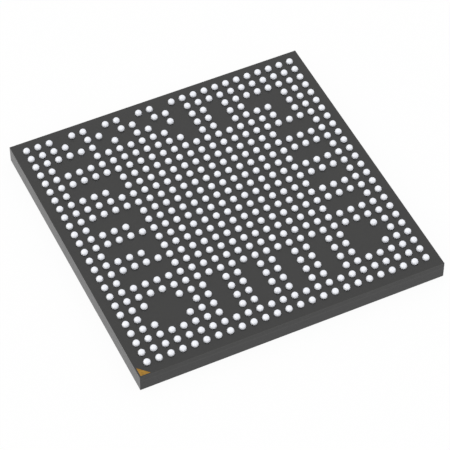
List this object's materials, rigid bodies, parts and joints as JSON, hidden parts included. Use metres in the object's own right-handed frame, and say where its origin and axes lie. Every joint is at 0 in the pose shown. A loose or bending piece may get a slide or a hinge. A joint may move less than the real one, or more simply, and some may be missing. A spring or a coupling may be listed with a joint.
{
  "type": "ball grid array package",
  "caption": "Square moulded chip package, lying on its moulded face, with a grid of solder balls on the face above and a gold triangle at the corner beside the first ball.",
  "frame": {"origin": "centre of the moulded face, on which the package lies", "axes": "+Z from the moulded face to the solder balls, +X along a lettered row from column 1 to column 25, +Y from row A to row AE"},
  "size_m": [0.017, 0.017, 0.0012],
  "materials": {
    "mould_compound": "matte",
    "solder_mask": "matte",
    "laminate": "matte",
    "copper": "satin",
    "gold_plating": "satin",
    "silicon": "polished",
    "underfill_resin": "gloss",
    "solder": "satin"
  },
  "bodies": {
    "root": {"mould_cap": "mould_compound", "silicon_die": "silicon", "underfill": "underfill_resin", "solder_mask_die_side": "solder_mask", "ply_die_side": "laminate", "copper_plane_die_side": "copper", "laminate_core": "laminate", "copper_plane_ball_side": "copper", "ply_ball_side": "laminate", "corner_mark": "gold_plating", "solder_mask_ball_side": "solder_mask", "balls_row_a": "solder", "balls_row_b": "solder", "balls_row_c": "solder", "balls_row_d": "solder", "balls_row_e": "solder", "balls_row_f": "solder", "balls_row_g": "solder", "balls_row_h": "solder", "balls_row_j": "solder", "balls_row_k": "solder", "balls_row_l": "solder", "balls_row_m": "solder", "balls_row_n": "solder", "balls_row_p": "solder", "balls_row_r": "solder", "balls_row_t": "solder", "balls_row_u": "solder", "balls_row_v": "solder", "balls_row_w": "solder", "balls_row_y": "solder", "balls_row_aa": "solder", "balls_row_ab": "solder", "balls_row_ac": "solder", "balls_row_ad": "solder", "balls_row_ae": "solder"}
  },
  "joints": []
}
